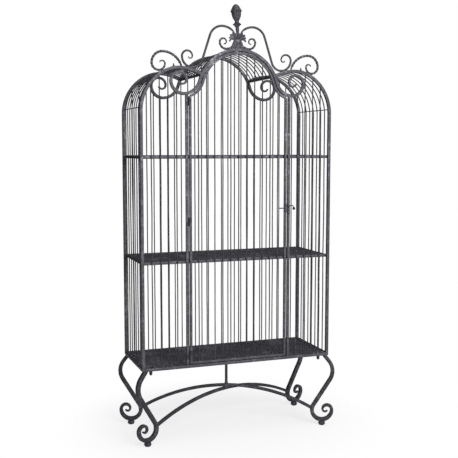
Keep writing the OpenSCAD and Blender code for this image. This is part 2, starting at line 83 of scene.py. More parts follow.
# Pediment's scrolls: rope scroll's crest and low bend, small scroll, outer scroll, and how deep each sits
ROPE_CREST, ROPE_CREST_R = (79.0, 1979.0), 66.0
ROPE_LOW_X, ROPE_LOW_R = 231.0, 52.0
ROPE_D = 10.0
SMALL_X, SMALL_R = 60.0, 32.0
OUTER_X, OUTER_R = 398.0, 34.0
SEAT = 0.4
# Gap round the door, and how far welded bars and the tops of the posts run into their neighbours
DOOR_GAP = 3.0
WELD_LAP, POST_LAP = 1.0, 4.0


def edges_mm(node):
    """Lowest and highest corner of a CAD node, in millimetres."""
    low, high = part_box(node)
    return np.array(low) / MM, np.array(high) / MM


post_low, post_high = edges_mm("upright_front_right")
POST_X = post_high[0] - BAR / 2
FRONT_Y = (post_low[1] + post_high[1]) / 2
CAGE_Z = post_low[2]
FLOOR_Z = edges_mm("base_rails")[1][2]
rope_low, rope_high = edges_mm("rope_scroll_right")
leaf_low, leaf_high = edges_mm("pediment_leaf")
PED_X = (leaf_low[0] + leaf_high[0]) / 2
PED_Y = (rope_low[1] + rope_high[1]) / 2
STRETCHER_Z = edges_mm("stretcher_upper")[1][2] - STRETCHER_T / 2
DIAGONAL = math.degrees(math.atan2(-FRONT_Y, POST_X))


# ------------------------------------------------------------ plane curves, as (u, z) points in millimetres
def on(centre, radius, angle):
    a = math.radians(angle)
    return np.array([centre[0] + radius * math.cos(a), centre[1] + radius * math.sin(a)])


def arc(centre, radius, start, stop, step=3.0):
    count = max(3, math.ceil(abs(math.radians(stop - start)) * radius / step))
    a = np.radians(np.linspace(start, stop, count + 1))
    return np.column_stack([centre[0] + radius * np.cos(a), centre[1] + radius * np.sin(a)])


def line(a, b, step=12.0, least=1):
    a, b = np.asarray(a, float), np.asarray(b, float)
    count = max(least, math.ceil(np.linalg.norm(b - a) / step))
    return a + np.linspace(0, 1, count + 1)[:, None] * (b - a)


def chain(*parts):
    """One curve out of several that follow one another."""
    points = [parts[0]]
    for part in parts[1:]:
        points.append(part[1:] if np.linalg.norm(part[0] - points[-1][-1]) < 0.2 else part)
    return np.concatenate(points)


def lengths(path):
    return np.concatenate([[0.0], np.cumsum(np.linalg.norm(np.diff(path, axis=0), axis=1))])


def resample(path, step):
    """The same curve with evenly spaced points."""
    s = lengths(path)
    t = np.linspace(0, s[-1], max(2, math.ceil(s[-1] / step)) + 1)
    return np.column_stack([np.interp(t, s, path[:, i]) for i in range(path.shape[1])])


def mirrored(path):
    return path * np.array([-1.0, 1.0])


def angle_of(centre, point):
    return math.degrees(math.atan2(point[1] - centre[1], point[0] - centre[0]))


def tangent_line_angle(a, ra, b, rb):
    """Direction of the line that leaves the circle at a and runs into the opposite side of the one at b."""
    d = np.subtract(b, a)
    return math.degrees(math.atan2(d[1], d[0]) - math.asin((ra + rb) / np.linalg.norm(d)))


C1 = np.array([POST_X - SHOULDER_R, SPRING_Z])
C2 = on(C1, SHOULDER_R - CROWN_R, SHOULDER_A)
C3 = np.array([C2[0], C2[1] + CROWN_R - FALL_R])
ARCH_C = np.array([0.0, ARCH_Z])
SWEEP_DROP = SWEEP_LOW_Z - ARCH_Z
SWEEP_R = (SWEEP_X**2 + SWEEP_DROP**2 - ARCH_R**2) / (2 * (ARCH_R - SWEEP_DROP))
SWEEP_C = np.array([SWEEP_X, SWEEP_LOW_Z + SWEEP_R])
TURN_A = angle_of(ARCH_C, SWEEP_C)


def crossing(radius):
    """Where the shoulder's fall crosses a circle about the arch's centre."""
    d = np.linalg.norm(C3 - ARCH_C)
    along = (radius**2 - FALL_R**2 + d * d) / (2 * d)
    across = math.sqrt(radius**2 - along**2)
    u = (C3 - ARCH_C) / d
    return ARCH_C + along * u + across * np.array([-u[1], u[0]])


def shoulder_height(x, out=0.0):
    """Height of the shoulder's line at x, moved outwards by out."""
    if x > C1[0] + (SHOULDER_R + out) * math.cos(math.radians(SHOULDER_A)):
        return C1[1] + math.sqrt((SHOULDER_R + out) ** 2 - (x - C1[0]) ** 2)
    if x > C2[0]:
        return C2[1] + math.sqrt((CROWN_R + out) ** 2 - (x - C2[0]) ** 2)
    return C3[1] + math.sqrt((FALL_R + out) ** 2 - (x - C3[0]) ** 2)


# ------------------------------------------------------------ meshes
class Shape:
    """Vertices and faces gathered into one mesh. Points come in millimetres."""

    def __init__(self):
        self.verts, self.faces, self.count = [], [], 0

    def add(self, verts, faces):
        self.verts.append(np.asarray(verts, float))
        self.faces += [[i + self.count for i in face] for face in faces]
        self.count += len(verts)

    def piece(self, name, body, slot, material, replaces=(), sharp=38, cut_z=None):
        """The finished object. cut_z saws it off level at that height."""
        mesh = bpy.data.meshes.new(name)
        mesh.from_pydata((np.concatenate(self.verts) * MM).tolist(), [], self.faces)
        work = bmesh.new()
        work.from_mesh(mesh)
        if cut_z is not None:
            everything = work.verts[:] + work.edges[:] + work.faces[:]
            cut = bmesh.ops.bisect_plane(work, geom=everything, plane_co=(0, 0, cut_z * MM),
                                         plane_no=(0, 0, 1), clear_outer=True)
            sawn = [item for item in cut["geom_cut"] if isinstance(item, bmesh.types.BMEdge)]
            bmesh.ops.edgeloop_fill(work, edges=sawn)
        bmesh.ops.recalc_face_normals(work, faces=work.faces)
        work.to_mesh(mesh)
        work.free()
        mesh.shade_smooth()
        mesh.set_sharp_from_angle(angle=math.radians(sharp))
        mesh.materials.append(material)
        piece = bpy.data.objects.new(name, mesh)
        bpy.context.scene.collection.objects.link(piece)
        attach(piece, body)
        if replaces:
            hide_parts(*replaces)
        return piece


def square_section(corner=0.2, per_corner=3):
    """Outline of a square bar with rounded corners, each half side being 1."""
    points = []
    for quarter in range(4):
        for k in range(per_corner + 1):
            a = math.radians(90 * (quarter + k / per_corner))
            c = math.radians(90 * quarter + 45)
            points.append([(1 - corner) * math.copysign(1, math.cos(c)) + corner * math.cos(a),
                           (1 - corner) * math.copysign(1, math.sin(c)) + corner * math.sin(a)])
    return np.array(points)


def round_section(sides):
    a = np.linspace(0, 2 * math.pi, sides, endpoint=False)
    return np.column_stack([np.cos(a), np.sin(a)])


def waves(points, wavelength, seed):
    """Smooth random values between about -1 and 1 at points in space."""
    rng = np.random.default_rng(SEED * 1000 + seed)
    total = np.zeros(len(points))
    for octave in range(5):
        k = rng.normal(size=3)
        k *= 2 * math.pi / wavelength / np.linalg.norm(k) * (0.7 + 0.25 * octave)
        total += np.sin(points @ k + rng.uniform(0, 2 * math.pi))
    return total / 3.2


def taper_ends(values):
    """A half size along a bar, with a step down just inside each end."""
    return np.concatenate([[values[0] * 0.8, values[0]], values[1:-1], [values[-1], values[-1] * 0.8]])


def faces_along(count, m):
    """Quads of a tube with count rings of m points, and a cap at each end."""
    faces = [[i * m + j, i * m + (j + 1) % m, (i + 1) * m + (j + 1) % m, (i + 1) * m + j]
             for i in range(count - 1) for j in range(m)]
    return faces + [list(range(m))[::-1], [(count - 1) * m + j for j in range(m)]]


def sweep(shape, path, side, half_n, half_b, section, twist=None, forged=0.0, round_ends=True, seed=0):
    """A bar along path (n x 3). side is the direction that stays across it; half_n and half_b are half its
    section across and along side, which may change along the bar."""
    count = len(path)
    tangent = np.gradient(path, axis=0)
    tangent /= np.linalg.norm(tangent, axis=1)[:, None]
    b = np.asarray(side, float) - (tangent @ np.asarray(side, float))[:, None] * tangent
    b /= np.linalg.norm(b, axis=1)[:, None]
    n = np.cross(b, tangent)
    half_n = np.broadcast_to(np.asarray(half_n, float), (count,)).copy()
    half_b = np.broadcast_to(np.asarray(half_b, float), (count,)).copy()
    centres = path
    if round_ends:
        lead = 0.45 * min(half_n[0], half_b[0])
        tail = 0.45 * min(half_n[-1], half_b[-1])
        centres = np.vstack([path[0], path[0] + tangent[0] * lead * 0.5, path[1:-1],
                             path[-1] - tangent[-1] * tail * 0.5, path[-1]])
        n = np.vstack([n[0], n[0], n[1:-1], n[-1], n[-1]])
        b = np.vstack([b[0], b[0], b[1:-1], b[-1], b[-1]])
        half_n = taper_ends(half_n)
        half_b = taper_ends(half_b)
        count += 2
    cn, cb = section[:, 0][None, :], section[:, 1][None, :]
    if twist is not None:
        turn = np.interp(lengths(centres), lengths(path), twist)[:, None]
        cn, cb = cn * np.cos(turn) - cb * np.sin(turn), cn * np.sin(turn) + cb * np.cos(turn)
    offsets = n[:, None, :] * (cn * half_n[:, None])[:, :, None]
    offsets = offsets + b[:, None, :] * (cb * half_b[:, None])[:, :, None]
    verts = (centres[:, None, :] + offsets).reshape(-1, 3)
    if forged:
        unit = offsets.reshape(-1, 3)
        unit = unit / np.maximum(np.linalg.norm(unit, axis=1), 1e-6)[:, None]
        dent = waves(verts, 26, seed) * 0.5 + waves(verts, 9, seed + 1) * 0.5
        verts = verts + unit * (np.minimum(dent, 0.3)[:, None] - 0.3) * forged
    shape.add(verts, faces_along(count, len(section)))


def in_plane(path, angle=0.0, y=0.0):
    """A (u, z) curve stood up in the vertical plane at that angle from +X, moved by y."""
    a = math.radians(angle)
    return np.column_stack([path[:, 0] * math.cos(a), path[:, 0] * math.sin(a) + y, path[:, 1]])


def across(angle=0.0):
    """The direction across the vertical plane at that angle from +X."""
    a = math.radians(angle)
    return np.array([-math.sin(a), math.cos(a), 0.0])


def wobble(path, amount, seed, side):
    """The curve as bent by hand: off its line by up to amount between its ends."""
    s = lengths(path)
    share = np.sin(np.pi * np.clip(s / s[-1], 0, 1)) ** 0.5
    side = np.asarray(side, float)
    rng = np.random.default_rng(SEED * 77 + seed)
    moved = path.copy()
    for direction in (side, np.cross(side, [0, 0, 1])):
        wave = sum(np.sin(2 * math.pi * (s / w + rng.uniform())) * h for w, h in ((410, 0.6), (730, 0.8)))
        moved += (wave * share * amount * rng.uniform(0.4, 1.0))[:, None] * direction
    return moved


# ------------------------------------------------------------ finishes
class Finish:
    """A procedural material, with short ways to add the nodes that it is made of."""

    def __init__(self, name):
        self.material = bpy.data.materials.new(name)
        self.material.use_nodes = True
        self.nodes = self.material.node_tree.nodes
        self.link = self.material.node_tree.links.new
        self.coords = self.nodes.new("ShaderNodeTexCoord").outputs["Object"]

    def noise(self, scale, detail, roughness=0.55):
        node = self.nodes.new("ShaderNodeTexNoise")
        node.inputs["Scale"].default_value = scale
        node.inputs["Detail"].default_value = detail
        node.inputs["Roughness"].default_value = roughness
        self.link(self.coords, node.inputs["Vector"])
        return node.outputs["Fac"]

    def hammered(self, scale=95):
        """Distance from the middles of the shallow dents that a hammer leaves."""
        node = self.nodes.new("ShaderNodeTexVoronoi")
        node.feature = "SMOOTH_F1"
        node.inputs["Scale"].default_value = scale
        self.link(self.coords, node.inputs["Vector"])
        return node.outputs["Distance"]

    def maths(self, kind, a, b, clamp=False):
        node = self.nodes.new("ShaderNodeMath")
        node.operation = kind
        node.use_clamp = clamp
        for socket, value in zip(node.inputs, (a, b)):
            if isinstance(value, (int, float)):
                socket.default_value = value
            else:
                self.link(value, socket)
        return node.outputs[0]

    def spread(self, value, low, high, to_low=0.0, to_high=1.0):
        """The value, with the range from low to high stretched over the one from to_low to to_high."""
        node = self.nodes.new("ShaderNodeMapRange")
        node.inputs["From Min"].default_value = low
        node.inputs["From Max"].default_value = high
        node.inputs["To Min"].default_value = to_low
        node.inputs["To Max"].default_value = to_high
        self.link(value, node.inputs["Value"])
        return node.outputs["Result"]

    def edges(self, radius=0.0022):
        """1 along sharp edges and 0 on flat faces, from how far a rounded normal turns."""
        edge = self.nodes.new("ShaderNodeBevel")
        edge.samples = 4
        edge.inputs["Radius"].default_value = radius
        facing = self.nodes.new("ShaderNodeVectorMath")
        facing.operation = "DOT_PRODUCT"
        self.link(edge.outputs["Normal"], facing.inputs[0])
        self.link(self.nodes.new("ShaderNodeNewGeometry").outputs["Normal"], facing.inputs[1])
        return self.spread(facing.outputs["Value"], 0.98, 0.80)

    def tint(self, value, dark, light, middle_at=0.55):
        """Colour from dark to light, a little darker than halfway at middle_at."""
        ramp = self.nodes.new("ShaderNodeValToRGB")
        ramp.color_ramp.elements[0].color = (*dark, 1)
        ramp.color_ramp.elements[1].color = (*light, 1)
        middle = ramp.color_ramp.elements.new(middle_at)
        middle.color = (*[0.55 * a + 0.45 * b for a, b in zip(dark, light)], 1)
        self.link(value, ramp.inputs["Fac"])
        return ramp.outputs["Color"]

    def bump(self, height):
        node = self.nodes.new("ShaderNodeBump")
        node.inputs["Strength"].default_value = 0.55
        node.inputs["Distance"].default_value = 0.0009
        self.link(height, node.inputs["Height"])
        return node.outputs["Normal"]


def iron(name, dark, light, edge_wear_and_highlight_amount=0.5, rough=(0.42, 0.62), dents=0.5, rubbed=0.5):
    """Hand-worked iron: dark wax in the hollows, pewter where it is rubbed, brighter along the edges from
    wear and a painted highlight.
    """
    finish = Finish(name)
    maths, spread = finish.maths, finish.spread
    patches = finish.noise(11, 2)
    mottle = finish.noise(75, 4, 0.65)
    grain = finish.noise(420, 3, 0.6)
    # Edges brightened by a bevel mask broken up by mottle: partly rubbed edge wear, partly a painted
    # highlight along the edges.
    edge_wear_and_highlight = maths("MULTIPLY", finish.edges(), spread(mottle, 0.40, 0.62), True)
    cover = maths("ADD", maths("MULTIPLY", patches, 0.35), maths("MULTIPLY", mottle, 0.65))
    cover = spread(cover, 0.62 - 0.24 * rubbed, 0.74 - 0.16 * rubbed)
    cover = maths("ADD", cover, maths("MULTIPLY", edge_wear_and_highlight, edge_wear_and_highlight_amount), True)
    cover = maths("MULTIPLY", cover, spread(grain, 0.30, 0.55, 0.55, 1.0), True)
    height = maths("MULTIPLY", finish.hammered(), dents)
    height = maths("ADD", height, maths("MULTIPLY", grain, 0.35))
    shader = finish.nodes["Principled BSDF"]
    finish.link(finish.tint(cover, dark, light), shader.inputs["Base Color"])
    finish.link(spread(cover, 0, 1, rough[1], rough[0]), shader.inputs["Roughness"])
    finish.link(finish.bump(height), shader.inputs["Normal"])
    shader.inputs["Metallic"].default_value = 0.55
    shader.inputs["IOR"].default_value = 1.5
    return finish.material


IRON = {
    "frame_bar": iron("frame_bar", (0.045, 0.044, 0.052), (0.122, 0.118, 0.136), 0.3),
    # The rods' iron is darker than the frame's: painted shade for rods that stand unlit.
    "rods": iron("rods", (0.022, 0.0215, 0.026), (0.112, 0.109, 0.124), 0.2, dents=0.3, rubbed=0.5),
    # The grille's iron is much paler than the rest: a painted highlight that brightens strands lying in
    # shade.
    "mesh": iron("mesh", (0.070, 0.068, 0.078), (0.300, 0.294, 0.325), 0.35, (0.45, 0.65), 0.2, 0.5),
    "ornament": iron("ornament", (0.040, 0.039, 0.047), (0.125, 0.121, 0.140), 0.4, rubbed=0.55),
    "stand_bar": iron("stand_bar", (0.026, 0.025, 0.031), (0.125, 0.121, 0.140), 0.4, dents=0.7),
    "hardware": iron("hardware", (0.014, 0.014, 0.016), (0.075, 0.073, 0.082), 0.35, (0.4, 0.58), 0.2, 0.4),
}
SQUARE = square_section()
SOFT_SQUARE = square_section(0.32, 3)
ROUND = round_section(10)
FORGED = 0.35
UP = (0, 0, 1)
SIDES = {"right": 1, "left": -1}
ENDS = {"front": 1, "back": -1}


def bar_piece(name, slot, bars, replaces, body="cage", size=BAR, sharp=38):
    """Square bars along several curves. Each is (path, direction across it)."""
    shape = Shape()
    for i, (path, side) in enumerate(bars):
        sweep(shape, path, side, size / 2, size / 2, SQUARE, forged=FORGED, seed=31 * len(name) + i)
    return shape.piece(name, body, slot, IRON[slot], replaces, sharp)


# ------------------------------------------------------------ frame of the cage
def shoulder_path(end, foot_z):
    """Up the post's line, over the shoulder and down to end."""
    return chain(line([POST_X, foot_z], [POST_X, SPRING_Z]), arc(C1, SHOULDER_R, 0, SHOULDER_A, 6),
                 arc(C2, CROWN_R, SHOULDER_A, 90, 6), arc(C3, FALL_R, 90, angle_of(C3, end), 6))


def uprights():
    weld = crossing(ARCH_R + BAR / 2 - POST_LAP)
    for end, s in ENDS.items():
        for side, m in SIDES.items():
            path = shoulder_path(weld, CAGE_Z) * [m, 1]
            name = f"upright_{end}_{side}"
            bar_piece(name, "frame_bar", [(in_plane(path, y=s * FRONT_Y), (0, 1, 0))], [name])


def spiral(start, radii, turn=345.0):
    """The scroll that the arch's sweep runs into, quarter by quarter."""
    q = np.array([start[0], start[1] + radii[0]])
    parts = [arc(q, radii[0], 270, 360)]
    q = q + [radii[0] - radii[1], 0]
    parts.append(arc(q, radii[1], 0, 90))
    q = q + [0, radii[1] - radii[2]]
    parts.append(arc(q, radii[2], 90, 180))
    q = q + [radii[3] - radii[2], 0]
    parts.append(arc(q, radii[3], 180, 270, 2))
    q = q + [0, radii[4] - radii[3]]
    parts.append(arc(q, radii[4], 270, turn, 2))
    return parts


def arches():
    half = chain(arc(ARCH_C, ARCH_R, 90, TURN_A, 5), arc(SWEEP_C, SWEEP_R, 180 + TURN_A, 270),
                 *spiral((SWEEP_X, SWEEP_LOW_Z), SCROLL_R))
    path = chain(mirrored(half)[::-1], half)
    s = lengths(path)
    near_end = np.minimum(s, s[-1] - s)
    half_n = np.interp(near_end, ARCH_TAPER[0], ARCH_TAPER[1])
    half_b = np.interp(near_end, ARCH_TAPER[0], ARCH_TAPER[2])
    for end, sign in ENDS.items():
        shape = Shape()
        sweep(shape, in_plane(path, y=sign * FRONT_Y), (0, 1, 0), half_n, half_b, SQUARE, forged=FORGED,
              seed=7 + sign)
        shape.piece("arch_" + end, "cage", "frame_bar", IRON["frame_bar"], ["arch_" + end])


def straight(a, b, step=12.0):
    """A straight centre line in space, between two (x, y, z) points."""
    return line(a, b, step, 4)


def base_rails():
    z = CAGE_Z + BAR / 2
    x, y = POST_X - BAR / 2 + WELD_LAP, -FRONT_Y - BAR / 2 + WELD_LAP
    rails = [(straight((-x, s * -FRONT_Y, z), (x, s * -FRONT_Y, z)), UP) for s in (-1, 1)]
    rails += [(straight((s * POST_X, -y, z), (s * POST_X, y, z)), UP) for s in (-1, 1)]
    bar_piece("base_rails", "frame_bar", rails, ["base_rails"])


def base_mid_rail():
    low, high = edges_mm("base_mid_rail")
    middle = (low + high) / 2
    shape = Shape()
    sweep(shape, straight((low[0], middle[1], middle[2]), (high[0], middle[1], middle[2])), UP,
          (high[1] - low[1]) / 2, (high[2] - low[2]) / 2, SQUARE, forged=FORGED, seed=5)
    shape.piece("base_mid_rail", "cage", "frame_bar", IRON["frame_bar"], ["base_mid_rail"])


def shelf_frame(name):
    low, high = edges_mm(name)
    h = (high[2] - low[2]) / 2
    z = low[2] + h
    left, right = low[0] + 0.5, high[0] - 0.5
    bars = [(straight((left, y, z), (right, y, z)), UP) for y in (low[1] + h, high[1] - h)]
    bars += [(straight((x, low[1] + h, z), (x, high[1] - h, z)), UP) for x in (low[0] + h, high[0] - h)]
    bar_piece(name, "frame_bar", bars, [name])


def expanded_metal(node, pitch=13.4, long_way=26.5, strand=1.6, width=4.4, tilt=50.0):
    """Slit and stretched sheet: leaning strands zigzag along Y and meet their neighbours at every bond."""
    low, high = edges_mm(node)
    z = (low[2] + high[2]) / 2
    columns = max(2, round((high[0] - low[0]) / pitch * 2))
    gap = (high[0] - low[0]) / columns
    steps = max(2, round((high[1] - low[1]) / long_way * 2))
    y = np.linspace(low[1], high[1], steps * 4 + 1)
    swing = np.interp(np.arange(len(y)) / 4 % 2, [0, 0.2, 0.8, 1.2, 1.8, 2], [-1, -1, 1, 1, -1, -1])
    lean = math.radians(tilt)
    corners = ((-1, -1), (1, -1), (1, 1), (-1, 1))
    faces = faces_along(len(y), len(corners))
    shape = Shape()
    for i in range(columns):
        sign = 1 if i % 2 else -1
        x = low[0] + gap * (i + 0.5) + sign * swing * (gap / 2 - strand * 0.55)
        path = np.column_stack([x, y, z + 0 * y])
        run = np.gradient(path, axis=0)
        run /= np.linalg.norm(run, axis=1)[:, None]
        flat = np.column_stack([run[:, 1], -run[:, 0], 0 * y])
        wide = (flat * math.cos(lean) + [0, 0, math.sin(lean)]) * width / 2
        thick = (flat * -math.sin(lean) + [0, 0, math.cos(lean)]) * strand / 2
        verts = np.stack([path + a * wide + b * thick for a, b in corners], axis=1)
        shape.add(verts.reshape(-1, 3), faces)
    shape.piece(node + "_grille", "cage", "mesh", IRON["mesh"], [node], 30)


# ------------------------------------------------------------ rods
def frame_height(x):
    """Height of the front frame's line above a rod at x."""
    x = abs(x)
    if x < ARCH_R * math.cos(math.radians(TURN_A)):
        return ARCH_Z + math.sqrt(ARCH_R**2 - x * x)
    if x < SWEEP_X:
        return SWEEP_C[1] - math.sqrt(SWEEP_R**2 - (x - SWEEP_X) ** 2)
    if x < SWEEP_X + SCROLL_R[0]:
        return SWEEP_LOW_Z + SCROLL_R[0] - math.sqrt(SCROLL_R[0] ** 2 - (x - SWEEP_X) ** 2)
    return shoulder_height(x)


DOOR_RISE = BAR / 2 + DOOR_GAP + SLIM / 2


def door_height(x):
    """Height of the door's top rail, along its middle, at x."""
    x = abs(x)
    if x < (ARCH_R - DOOR_RISE) * math.cos(math.radians(TURN_A)):
        return ARCH_Z + math.sqrt((ARCH_R - DOOR_RISE) ** 2 - x * x)
    return SWEEP_C[1] - math.sqrt((SWEEP_R + DOOR_RISE) ** 2 - (x - SWEEP_X) ** 2)


def weld_beads(path, radius):
    """Radius along a rod that swells where each end is welded."""
    s = lengths(path)
    near = np.minimum(s, s[-1] - s)
    return radius + 1.3 * np.exp(-((near / 3.5) ** 2))


def with_ends(path):
    """Extra points close to both ends, for the weld beads."""
    s = lengths(path)
    extra = np.array([1.5, 3.0, 5.0, 8.0])
    t = np.unique(np.concatenate([s, extra, s[-1] - extra]))
    return np.column_stack([np.interp(t, s, path[:, i]) for i in range(3)])


def rods(name, body, paths, replaces, amount=0.7, radius=ROD / 2):
    shape = Shape()
    for i, path in enumerate(paths):
        path = wobble(with_ends(path), amount, 40 * len(name) + i, (0, 1, 0))
        sweep(shape, path, (0.02, 0.999, 0.01), weld_beads(path, radius), weld_beads(path, radius), ROUND,
              forged=0.25, round_ends=False, seed=3 * i + len(name))
    return shape.piece(name, body, "rods", IRON["rods"], replaces, 60)


def upright_rods(xs, y, foot_z, top):
    return [straight((x, y, foot_z - 1), (x, y, top(x)), 40) for x in xs]


def rod_places(node, count):
    """Middles of evenly spaced rods that fill a node's box."""
    low, high = edges_mm(node)
    return np.linspace(low[0] + ROD / 2, high[0] - ROD / 2, count)


def front_and_back_rods(door_count=11, panel_count=4, back_count=25):
    door_foot = edges_mm("door_rods")[0][2]
    places = rod_places("door_rods", door_count)
    rods("door_rods", "door", upright_rods(places, FRONT_Y, door_foot, door_height), ["door_rods"])
    panel_low, panel_high = edges_mm("panel_rods_right")
    panel_y = (panel_low[1] + panel_high[1]) / 2
    for side in SIDES:
        node = "panel_rods_" + side
        places = rod_places(node, panel_count)
        rods(node, "cage", upright_rods(places, panel_y, FLOOR_Z, frame_height), [node])
    places = rod_places("back_rods", back_count)
    rods("back_rods", "cage", upright_rods(places, -panel_y, FLOOR_Z, frame_height), ["back_rods"])


def side_and_roof_rods(side_count=7):
    side_low, side_high = edges_mm("side_rods_right")
    ys = np.linspace(side_low[1] + ROD / 2, side_high[1] - ROD / 2, side_count)
    valley = crossing(ARCH_R)
    over = shoulder_path(valley, FLOOR_Z - 1)
    for side, m in SIDES.items():
        paths = [in_plane(over * [m, 1], y=y) for y in ys]
        rods(f"side_rods_{side}", "cage", paths, ["side_rods_" + side, "shoulder_rods_" + side])
    a = angle_of(ARCH_C, valley)
    vault = arc(ARCH_C, ARCH_R, a, 180 - a, 6)
    rods("vault_rods", "cage", [in_plane(vault, y=y) for y in ys], ["vault_rods"])


def side_wires():
    low, high = edges_mm("side_wires")
    r = (high[2] - low[2]) / 2
    x, z = high[0] - r, low[2] + r
    wires = [straight((s * x, low[1], z), (s * x, high[1], z), 20) for s in (-1, 1)]
    rods("side_wires", "cage", wires, ["side_wires"], 0.3, r)


def valley_bars():
    x, z = crossing(ARCH_R)
    y = -FRONT_Y - BAR / 2 + WELD_LAP
    bars = [(straight((s * x, -y, z), (s * x, y, z)), UP) for s in (-1, 1)]
    bar_piece("valley_bars", "frame_bar", bars, ["valley_bars"], size=SLIM)


# ------------------------------------------------------------ front panels and door
def slim_post(node, body):
    low, high = edges_mm(node)
    x = (low[0] + high[0]) / 2
    path = straight((x, FRONT_Y, low[2]), (x, FRONT_Y, high[2]), 14)
    bar_piece(node, "frame_bar", [(path, (0, 1, 0))], [node], body, SLIM)


def door_frame():
    slim_post("divider_left", "cage")
    slim_post("door_stile_left", "door")
    low, high = edges_mm("door_bottom_rail")
    z = (low[2] + high[2]) / 2
    path = straight((low[0] - WELD_LAP, FRONT_Y, z), (high[0] + WELD_LAP, FRONT_Y, z))
    bar_piece("door_bottom_rail", "frame_bar", [(path, UP)], ["door_bottom_rail"], "door", SLIM)
    edge = edges_mm("door_top_rail")[1][0] - SLIM / 2
    stop = 180 + math.degrees(math.acos((SWEEP_X - edge) / (SWEEP_R + DOOR_RISE)))
    half = chain(arc(ARCH_C, ARCH_R - DOOR_RISE, 90, TURN_A, 5),
                 arc(SWEEP_C, SWEEP_R + DOOR_RISE, 180 + TURN_A, stop))
    path = in_plane(chain(mirrored(half)[::-1], half), y=FRONT_Y)
    bar_piece("door_top_rail", "frame_bar", [(path, (0, 1, 0))], ["door_top_rail"], "door", SLIM)


# ------------------------------------------------------------ stand
def leg_path():
    down = tangent_line_angle(KNEE, KNEE_R, FOOT, FOOT_R)
    k = on(KNEE, KNEE_R, KNEE_TOP)
    start = k + np.array([-math.sin(math.radians(KNEE_TOP)), math.cos(math.radians(KNEE_TOP))]) * 60
    end_x = FOOT[0] + FOOT_R
    return chain(line(start, k, 4), arc(KNEE, KNEE_R, KNEE_TOP, down + 90, 4),
                 line(on(KNEE, KNEE_R, down + 90), on(FOOT, FOOT_R, down - 90), 4),
                 arc(FOOT, FOOT_R, down + 270, 360, 3),
                 arc((end_x - 26, FOOT[1]), 26, 0, 90, 2),
                 arc((end_x - 26, FOOT[1] + 4), 22, 90, 180, 2),
                 arc((end_x - 34, FOOT[1] + 4), 14, 180, 270, 1.5),
                 arc((end_x - 34, FOOT[1]), 10, 270, 350, 1.5))


def legs():
    path = leg_path()
    s = lengths(path)
    left = s[-1] - s
    half_n = np.interp(left, LEG_TAPER[0], LEG_TAPER[1])
    half_b = np.interp(left, LEG_TAPER[0], LEG_TAPER[2])
    for end, s_y in ENDS.items():
        for side, s_x in SIDES.items():
            angle = math.degrees(math.atan2(s_y * FRONT_Y, s_x * POST_X))
            shape = Shape()
            sweep(shape, in_plane(path, angle), across(angle), half_n, half_b, SQUARE, forged=0.5,
                  seed=int(angle) % 97)
            name = f"leg_{end}_{side}"
            shape.piece(name, "cage", "stand_bar", IRON["stand_bar"], [name], cut_z=CAGE_Z)
            foot(f"foot_{end}_{side}")


def stretchers():
    end_u = FOOT[0] - FOOT_R - LEG_T / 2 + STRETCHER_LAP
    for name, crown, angle in (("stretcher_upper", STRETCHER_Z, -DIAGONAL),
                               ("stretcher_lower", STRETCHER_Z - STRETCHER_T - 0.1, DIAGONAL)):
        drop = crown - STRETCHER_END_Z
        radius = (end_u**2 + drop**2) / (2 * drop)
        half = math.degrees(math.asin(end_u / radius))
        path = arc((0, crown - radius), radius, 90 - half, 90 + half, 9)
        bar_piece(name, "stand_bar", [(in_plane(path, angle), across(angle))], [name], size=STRETCHER_T)


def lathe(shape, profile, centre, sides=32, bend=None):
    """Turned solid about a vertical line. bend(radius, height, angle) may reshape it."""
    a = np.linspace(0, 2 * math.pi, sides, endpoint=False)
    verts = []
    for r, z in profile:
        ring_r, ring_z = (r + 0 * a, z + 0 * a) if bend is None else bend(r, z, a)
        verts.append(np.column_stack([ring_r * np.cos(a), ring_r * np.sin(a), ring_z]))
    shape.add(np.concatenate(verts) + np.asarray(centre, float), faces_along(len(profile), sides))


def smooth_profile(points, step=1.2):
    """A profile with its long runs split, so that relief and bevels have points to sit on."""
    return resample(np.asarray(points, float), step)


def foot(name):
    """Bun foot under a leg's curl, with a collar above it. The profile is (radius, height)."""
    low, high = edges_mm(name)
    r = min(high[0] - low[0], high[1] - low[1]) / 2
    h = high[2] - low[2]
    middle = (low + high) / 2
    profile = [(0.2, 0), (0.64 * r, 0), (0.76 * r, 0.04 * h), (0.82 * r, 0.10 * h), (0.82 * r, 0.15 * h),
               (0.94 * r, 0.24 * h), (r, 0.38 * h), (r, 0.54 * h), (0.95 * r, 0.67 * h), (0.86 * r, 0.75 * h),
               (0.84 * r, 0.80 * h), (0.89 * r, 0.86 * h), (0.87 * r, 0.95 * h), (0.74 * r, h), (0.2, h)]
    shape = Shape()
    lathe(shape, profile, (middle[0], middle[1], low[2]), 36)
    shape.piece(name + "_bun", "cage", "stand_bar", IRON["stand_bar"], [name], 30)


def strut():
    low, high = edges_mm("strut")
    r = (high[0] - low[0]) / 2
    x, y, _ = (low + high) / 2
    h = high[2] - low[2]
    profile = [(0.2, 0), (1.12 * r, 0), (1.12 * r, 7), (0.98 * r, 10), (0.92 * r, 14), (0.92 * r, h - 14),
               (0.98 * r, h - 10), (1.12 * r, h - 7), (1.12 * r, h), (0.2, h)]
    shape = Shape()
    lathe(shape, profile, (x, y, low[2]), 28)
    shape.piece("strut_bar", "cage", "stand_bar", IRON["stand_bar"], ["strut"], 30)


def stand_bolts(r=8.0):
    low, high = edges_mm("stand_bolts")
    h = high[2] - low[2]
    dome = [(0.2, 0), (2.5, 0.2), (4.4, 0.9), (6.0, 2.4), (7.2, 4.6), (7.9, 7.2), (8.0, 9.0), (7.8, 10.6),
            (7.2, 11.4), (7.2, 12.0), (7.9, 12.8), (7.9, h - 1), (7.4, h), (0.2, h)]
    shape = Shape()
    for x in (low[0] + r, high[0] - r):
        for y in (low[1] + r, high[1] - r):
            lathe(shape, dome, (x, y, low[2]), 24)
    shape.piece("stand_bolt_domes", "cage", "hardware", IRON["hardware"], ["stand_bolts"], 35)


